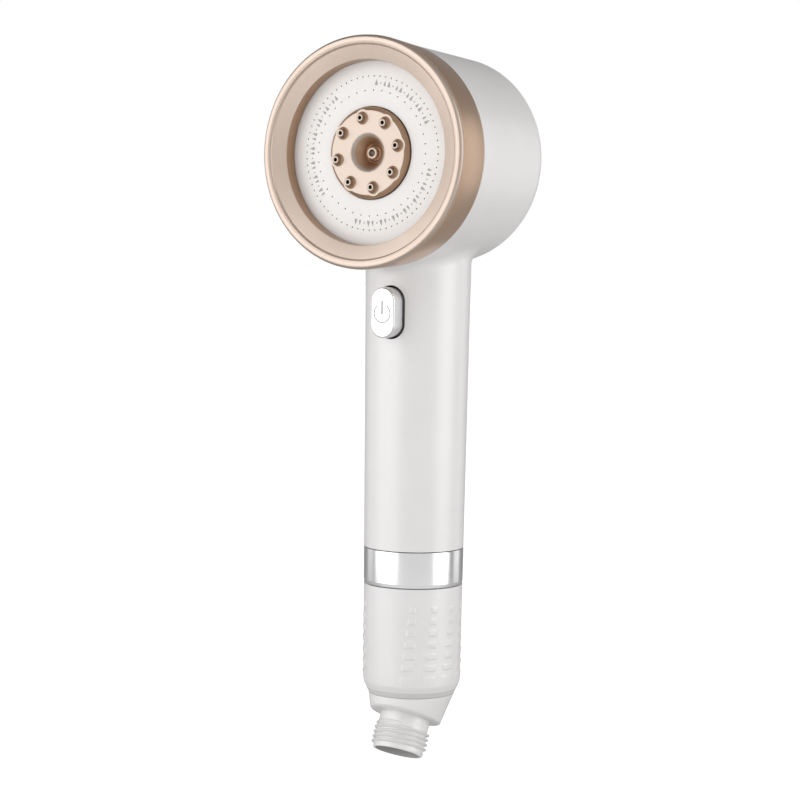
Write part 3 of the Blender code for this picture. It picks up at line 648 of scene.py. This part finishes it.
def centre_disc():
    funnel = []
    for k in range(17):
        f = k / 16
        funnel.append((2.9 + 4.6 * f ** 1.5, DISC_DEPTH + 4.9 * (1 - f ** 1.4) ** 1.7, 0))
    profile = [(2.9, 12.0, 0), (2.9, 10.4, 0)] + funnel + [(9.0, DISC_DEPTH, 0), (15.2, DISC_DEPTH, 0.9),
               (16.35, DISC_DEPTH + 0.9, 0.9), (DISC_R, DISC_DEPTH + 2.2, 0), (DISC_R, 11.0, 0),
               (18.4, 11.0, 0), (18.4, 12.0, 0)]
    shape = Shape()
    shape.add(*lathe(rounded(head_profile(profile), 8), 192), matrix=HEAD)
    obj = shape.build("centre_disc_face", [DISC_GOLD_SHADED, RECESS_GOLD_SHADED], 35)
    # both looks are darker copies of the plating, painted shade: the browner one on the funnel, the middle
    # and the shoulder
    paint(obj, HEAD, lambda c: 0 if FUNNEL_R <= math.hypot(c.x, c.y) <= SHOULDER_R else 1)
    places = [(NOZZLE_CIRCLE * math.cos(NOZZLE_START + 2 * math.pi * k / NOZZLE_COUNT),
               NOZZLE_CIRCLE * math.sin(NOZZLE_START + 2 * math.pi * k / NOZZLE_COUNT))
              for k in range(NOZZLE_COUNT)]
    holes = Shape()
    holes.add(*pins(places, 0.9, 24, -14, -4), matrix=HEAD)
    carve(obj, holes)
    cones = Shape()
    for x, y in places:
        cones.add(*lathe(nozzle_profile(), 48), matrix=HEAD @ Matrix.Translation((x, y, -DISC_DEPTH - 0.015)))
    more = cones.build("cones", [DISC_GOLD_SHADED, RECESS_GOLD_SHADED], 35)
    # the lower flanks of the nozzles get the browner copy: painted shade
    paint(more, HEAD, lambda c: 1 if DISC_DEPTH - 1.5 < -c.z < DISC_DEPTH - 0.06 else 0)
    with bpy.context.temp_override(active_object=obj, selected_editable_objects=[obj, more]):
        bpy.ops.object.join()
    obj.data.set_sharp_from_angle(angle=math.radians(35))
    return show(obj, "face", "gold_plating", "centre_disc")


centre_disc()


def centre_jet():
    profile = head_profile([(1.25, 12.0, 0), (1.25, 8.1, 0.12), (1.75, 7.9, 0.15), (2.15, 8.2, 0.25),
                            (2.25, 9.6, 0.3),
                            (2.75, 10.2, 0.2), (2.75, 12.0, 0)])
    shape = Shape()
    shape.add(*lathe(rounded(profile, 5), 64), matrix=HEAD)
    return show(shape.build("centre_jet_tip", [GOLD], 40), "face", "dark_plastic", "centre_jet")


centre_jet()


# ------------------------------------------------------------------ button
SIGN_DEPTH = 0.3


def stop_button():
    rings = [(-2.1, -1.5, 13.6), (-2.1, -1.5, 15.0), (0.0, 0.0, 15.05), (0.0, 0.0, BUTTON_FACE - 0.75)]
    for k in range(1, 7):
        t = math.pi / 2 * k / 6
        inset = 0.6 * (1 - math.cos(t))
        rings.append((inset, inset, BUTTON_FACE - 0.75 + 0.6 * math.sin(t)))
    rings += [(1.6, 1.6, BUTTON_FACE - 0.10), (2.9, 2.9, BUTTON_FACE - 0.04)]
    loops = [[(x, y, z) for x, y in stadium(BUTTON_W - 2 * a, BUTTON_H - 2 * b, 20)] for a, b, z in rings]
    shape = Shape()
    shape.add(*loft(loops), matrix=BUTTON)
    obj = shape.build("chrome_button", [BUTTON_CHROME], 40)
    sign = Shape()
    bar = [(-0.35, -0.6), (0.35, -0.6), (0.35, 4.4), (-0.35, 4.4)]
    sign.add(*loft([[(x, y, z) for x, y in bar] for z in (BUTTON_FACE - SIGN_DEPTH, BUTTON_FACE + 1)]),
             matrix=BUTTON)
    arc = []
    for r, order in ((3.6, 1), (3.15, -1)):
        line = []
        for k in range(41):
            t = math.radians(128 + 284 * k / 40)
            line.append((r * math.cos(t), r * math.sin(t) - 0.2))
        arc += line[::order]
    sign.add(*loft([[(x, y, z) for x, y in arc] for z in (BUTTON_FACE - SIGN_DEPTH, BUTTON_FACE + 1)]),
             matrix=BUTTON)
    carve(obj, sign)
    obj.data.materials.append(BUTTON_MARK)
    paint(obj, BUTTON, lambda c: 1 if abs(c.z - BUTTON_FACE + SIGN_DEPTH) < 0.1 and abs(c.x) < 3.9
          and abs(c.y) < 5 else 0)
    return show(obj, "button", "chrome", "stop_button")


stop_button()


def button_seal():
    shape = Shape()
    outer, inner = stadium(BUTTON_W + 1.2, BUTTON_H + 1.2, 20), stadium(BUTTON_W + 0.3, BUTTON_H + 0.3, 20)
    rings = [[(x, y, z) for x, y in loop] for loop, z in
             ((outer, 15.9), (outer, 17.0), (inner, 17.1), (inner, 15.9), (outer, 15.9))]
    shape.add(*loft(rings, False, False), matrix=BUTTON)
    return show(shape.build("button_wiper", [RUBBER], 30), "body", "rubber", "button_seal")


button_seal()


# ------------------------------------------------------------------ trim ring and lower handle
def trim_ring():
    r0, r1 = handle_radius(RING_Z0), handle_radius(RING_Z1)
    profile = [(r1 - 0.1, RING_Z1, 0.12), (r1 + 0.02, RING_Z1 - 0.25, 0.2), (r0 + 0.02, RING_Z0 + 1.2, 0.3),
               (r0 - 0.03, RING_Z0 + 1.0, 0.2), (r0 - 0.12, RING_Z0, 0.12), (15.3, RING_Z0, 0),
               (15.3, RING_Z1, 0)]
    shape = Shape()
    shape.add(*lathe(rounded(profile, 5), 256))
    return show(shape.build("chrome_trim", [CHROME], 35), "body", "chrome", "trim_ring")


trim_ring()

PAD_ROWS, PAD_PITCH, PAD_TOP = 7, 4.35, 33.8
PAD_ANGLES = [math.radians(-90 + 25.7 * k) for k in range(1, 13)]
PAD_RISE = 0.27


def pad_height(angle, z):
    """Rise of the grip pads over the plain sleeve."""
    best = 0.0
    for a in PAD_ANGLES:
        turn = (angle - a + math.pi) % (2 * math.pi) - math.pi
        arc = turn * 18.4
        if abs(arc) > 4.5:
            continue
        row = (PAD_TOP - z) / PAD_PITCH
        j = min(max(round(row), 0), PAD_ROWS - 1)
        away = abs(PAD_TOP - j * PAD_PITCH - z)
        width = 2.4 + 3.4 * (j / (PAD_ROWS - 1))
        left, right = 2.9 - width, 2.9
        across = min(arc - left, right - arc)
        up = 1.25 - away
        edge = min(across, up)
        if edge > -0.05:
            best = max(best, min(max((edge + 0.05) / 0.55, 0.0), 1.0))
    return PAD_RISE * best * best * (3 - 2 * best)


SLEEVE_FOOT = 2.4


def lower_sleeve():
    top = RING_Z0 - SEAM
    columns = 720
    zs = [top - 0.05 - (top - 8.0) * i / 130 for i in range(131)]
    outside = [(handle_radius(top) - 0.25, top, False), (handle_radius(top) - 0.08, top - 0.02, False)]
    outside += [(handle_radius(z), z, True) for z in zs]
    low = rounded([(handle_radius(8.0), 8.0, 0), (HANDLE_R_LOW, 4.6, 3.0), (17.15, 2.45, 0.8),
                   (16.15, 0.35, 0.25), (15.4, 0.35, 0)], 8)
    outside += [(r, z, False) for r, z in low[1:]]
    outside += [(15.4, top, False)]
    verts, faces = [], []
    for r, z, padded in outside:
        for k in range(columns):
            t = 2 * math.pi * k / columns
            rise = pad_height(t, z) if padded else 0.0
            verts.append(((r + rise) * math.cos(t), (r + rise) * math.sin(t), z))
    n = len(outside)
    for i in range(n):
        j = (i + 1) % n
        for k in range(columns):
            m = (k + 1) % columns
            faces.append((i * columns + k, i * columns + m, j * columns + m, j * columns + k))
    shape = Shape()
    shape.add(verts, faces)
    obj = shape.build("grip_sleeve", [WHITE_ABS, FOOT_WHITE_SHADED], 35)
    # the chamfered foot is given the darker white: painted shade
    paint(obj, HANDLE, lambda c: 1 if c.z < SLEEVE_FOOT else 0)
    return show(obj, "lower", "white_plastic", "lower_handle")


lower_sleeve()


# ------------------------------------------------------------------ inlet
BOOT_R, BOOT_Y, BOOT_DROP = 13.3, -3.95, -9.6


def inlet():
    n = 96
    tilt = math.tan(SPOUT_TILT)

    def slanted(r, cy, drop):
        return [(r * math.cos(2 * math.pi * k / n), cy + r * math.sin(2 * math.pi * k / n),
                 drop - (cy + r * math.sin(2 * math.pi * k / n)) * tilt) for k in range(n)]

    def flat(r, z):
        return [(r * math.cos(2 * math.pi * k / n), r * math.sin(2 * math.pi * k / n), z) for k in range(n)]

    low = []
    for k in range(7):
        t = math.pi / 2 * k / 6
        low.append((BOOT_R - 1.0 * (1 - math.sin(t)), BOOT_Y, BOOT_DROP - 1.0 * math.cos(t)))
    rings = [slanted(9.0, -3.6, BOOT_DROP - 1.05), slanted(11.0, -3.9, BOOT_DROP - 1.04)]
    rings += [slanted(*row) for row in low]
    start, end = slanted(BOOT_R, BOOT_Y, BOOT_DROP), flat(16.1, 0.0)
    for j in range(1, 9):
        f = j / 9
        rings.append([tuple(a * (1 - f) + b * f for a, b in zip(p, q)) for p, q in zip(start, end)])
    rings += [flat(16.1, 0.0), flat(16.1, 0.24), flat(15.1, 0.24), flat(15.1, 5.6), flat(9.0, 5.6)]
    shape = Shape()
    shape.add(*loft(rings))
    obj = shape.build("boot_and_spout", [WHITE_ABS], 35)
    spout = Shape()
    profile = rounded([(0, -3, 0), (9.45, -3, 0), (9.45, 10.7 - SPOUT_END, 0.4),
                       (THREAD_ROOT, 10.0 - SPOUT_END, 0.2), (THREAD_ROOT, -SPOUT_END + 0.7, 0.3),
                       (9.25, -SPOUT_END, 0.2), (0, -SPOUT_END, 0)], 4)
    spout.add(*lathe(profile, 128, False), matrix=SPOUT)
    carve(obj, spout, "UNION")
    bore = Shape()
    mouth = rounded([(0, -1.0, 0), (7.7, -1.0, 0), (7.7, -SPOUT_END + 1.6, 0),
                     (8.5, -SPOUT_END - 0.2, 0), (8.5, -SPOUT_END - 2, 0), (0, -SPOUT_END - 2, 0)])
    bore.add(*lathe(mouth, 96, False), matrix=SPOUT)
    carve(obj, bore)
    plug = Shape()
    plug.add(*pins([(0, 0)], 8.2, 64, -3.2, 8.0))
    carve(obj, plug)
    ridge = Shape()
    ridge.add(*thread_ridge(THREAD_ROOT, THREAD_R, THREAD_PITCH, 1.1 - SPOUT_END, 9.9 - SPOUT_END),
              matrix=SPOUT)
    # the inside of the spout is given the grey white: painted shade
    obj.data.materials.append(BORE_WHITE_SHADED)
    paint(obj, SPOUT, lambda c: 1 if math.hypot(c.x, c.y) < 8.45 and c.z < -8 else 0)
    more = ridge.build("ridge", [WHITE_ABS], 40)
    with bpy.context.temp_override(active_object=obj, selected_editable_objects=[obj, more]):
        bpy.ops.object.join()
    obj.data.set_sharp_from_angle(angle=math.radians(35))
    return show(obj, "lower", "white_plastic", "inlet_connector")


inlet()


# ------------------------------------------------------------------ studio
VIEW_AZIMUTH = 30.78               # degrees; the camera stands this far round from the spray side
FRONT = math.radians(VIEW_AZIMUTH)


def floor_material():
    """Pale and matt; to the camera it is dim near the middle, a painted shadow under the object, and further
    out glows up to the white of the backdrop, so no horizon shows; to everything else it glows as painted
    bounce light, brighter in front.
    """
    mat, nodes, links, shader = new_material("pale_floor")
    shader.inputs["Base Color"].default_value = (0.60, 0.60, 0.60, 1)
    shader.inputs["Roughness"].default_value = 0.9
    coords = nodes.new("ShaderNodeTexCoord")
    length = nodes.new("ShaderNodeVectorMath")
    length.operation = "LENGTH"
    links.new(coords.outputs["Object"], length.inputs[0])
    # dim near the middle, a painted shadow under the object; further out it glows up to the backdrop's white
    shadow_and_glow = nodes.new("ShaderNodeMapRange")
    shadow_and_glow.interpolation_type = "SMOOTHSTEP"
    shadow_and_glow.inputs["From Min"].default_value = 0.10
    shadow_and_glow.inputs["From Max"].default_value = 0.75
    shadow_and_glow.inputs["To Min"].default_value = 0.36
    shadow_and_glow.inputs["To Max"].default_value = 0.85
    links.new(length.outputs["Value"], shadow_and_glow.inputs["Value"])
    seen = nodes.new("ShaderNodeLightPath")
    forward = nodes.new("ShaderNodeVectorMath")
    forward.operation = "DOT_PRODUCT"
    forward.inputs[1].default_value = (math.sin(FRONT), -math.cos(FRONT), 0)
    links.new(coords.outputs["Object"], forward.inputs[0])
    # painted bounce light: for everything but the camera the floor glows, brighter on the camera's side
    bounce = nodes.new("ShaderNodeMapRange")
    bounce.interpolation_type = "SMOOTHSTEP"
    bounce.inputs["From Min"].default_value = -0.3
    bounce.inputs["From Max"].default_value = 0.8
    bounce.inputs["To Max"].default_value = 0.46
    links.new(forward.outputs["Value"], bounce.inputs["Value"])
    shown = nodes.new("ShaderNodeMix")
    links.new(seen.outputs["Is Camera Ray"], shown.inputs["Factor"])
    links.new(bounce.outputs["Result"], shown.inputs["A"])
    links.new(shadow_and_glow.outputs["Result"], shown.inputs["B"])
    shader.inputs["Emission Color"].default_value = (1, 1, 1, 1)
    links.new(shown.outputs["Result"], shader.inputs["Emission Strength"])
    return mat


def studio_world():
    """White to the eye, a soft grey room to everything else: brighter in front, dimmer above and behind."""
    world = bpy.data.worlds.new("studio")
    bpy.context.scene.world = world
    world.use_nodes = True
    nodes, links = world.node_tree.nodes, world.node_tree.links
    room = nodes["Background"]
    room.inputs["Color"].default_value = (1.0, 0.99, 0.985, 1)
    coords = nodes.new("ShaderNodeTexCoord")
    towards = nodes.new("ShaderNodeVectorMath")
    towards.operation = "DOT_PRODUCT"
    towards.inputs[1].default_value = (math.sin(FRONT), -math.cos(FRONT), 0)
    links.new(coords.outputs["Generated"], towards.inputs[0])
    level = nodes.new("ShaderNodeMapRange")
    level.interpolation_type = "SMOOTHSTEP"
    level.inputs["From Min"].default_value = -0.3
    level.inputs["From Max"].default_value = 0.7
    level.inputs["To Min"].default_value = 0.30
    level.inputs["To Max"].default_value = 0.70
    links.new(towards.outputs["Value"], level.inputs["Value"])
    links.new(level.outputs["Result"], room.inputs["Strength"])
    backdrop = nodes.new("ShaderNodeBackground")
    backdrop.inputs["Color"].default_value = (1, 1, 1, 1)
    seen = nodes.new("ShaderNodeLightPath")
    mix = nodes.new("ShaderNodeMixShader")
    links.new(seen.outputs["Is Camera Ray"], mix.inputs["Fac"])
    links.new(room.outputs["Background"], mix.inputs[1])
    links.new(backdrop.outputs["Background"], mix.inputs[2])
    links.new(mix.outputs["Shader"], nodes["World Output"].inputs["Surface"])


def softbox(name, azimuth, elevation, distance, width, height, power):
    data = bpy.data.lights.new(name, "AREA")
    data.shape = "RECTANGLE"
    data.size, data.size_y, data.energy = width, height, power
    obj = bpy.data.objects.new(name, data)
    a, e = math.radians(azimuth), math.radians(elevation)
    out = Vector((math.sin(a) * math.cos(e), -math.cos(a) * math.cos(e), math.sin(e)))
    obj.location = Vector((0, 0, 0.12)) + out * distance
    obj.rotation_euler = out.to_track_quat("Z", "Y").to_euler()
    bpy.context.scene.collection.objects.link(obj)


SOFTBOX_AWAY = 1.1
# name, degrees round from the camera, degrees up, metres wide, metres high, watts
SOFTBOXES = [
    ("left", -68, 3, 1.3, 1.5, 9.5),
    ("right", 69, 3, 0.8, 1.6, 7.5),
    ("rear_left", -119, 4, 0.5, 0.7, 0.6),
    ("rear_right", 119, 4, 0.5, 0.7, 0.9),
]
FLOOR_HALF, FLOOR_Z = 6.0, -0.16


def studio():
    scene = bpy.context.scene
    scene.view_settings.view_transform = "Standard"
    mesh = bpy.data.meshes.new("floor")
    corners = [(x * FLOOR_HALF, y * FLOOR_HALF, 0) for x, y in ((-1, -1), (1, -1), (1, 1), (-1, 1))]
    mesh.from_pydata(corners, [], [(0, 1, 2, 3)])
    floor = bpy.data.objects.new("floor", mesh)
    floor.location.z = FLOOR_Z
    scene.collection.objects.link(floor)
    mesh.materials.append(floor_material())
    studio_world()
    for name, turn, lift, width, height, power in SOFTBOXES:
        softbox(name, VIEW_AZIMUTH + turn, lift, SOFTBOX_AWAY, width, height, power)


studio()


ELEVATION, ROLL, AWAY = math.radians(4.4), math.radians(0.98), 0.986
AIM_Z, LENS, SENSOR = 120.18738, 119.025, 36.0
SHIFT_X, SHIFT_Y = -0.0208375, -0.0337875


def camera():
    scene = bpy.context.scene
    back = Vector((math.sin(FRONT) * math.cos(ELEVATION), -math.cos(FRONT) * math.cos(ELEVATION),
                   math.sin(ELEVATION)))
    right = Vector((math.cos(FRONT), math.sin(FRONT), 0))
    up = back.cross(right)
    right, up = right * math.cos(ROLL) + up * math.sin(ROLL), up * math.cos(ROLL) - right * math.sin(ROLL)
    data = bpy.data.cameras.new("camera")
    data.sensor_width, data.lens = SENSOR, LENS
    data.shift_x, data.shift_y = SHIFT_X, SHIFT_Y
    obj = bpy.data.objects.new("camera", data)
    pose = Matrix((right, up, back)).transposed().to_4x4()
    pose.translation = Vector((0, 0, AIM_Z * MM)) + back * AWAY
    obj.matrix_world = pose
    scene.collection.objects.link(obj)
    scene.camera = obj


camera()
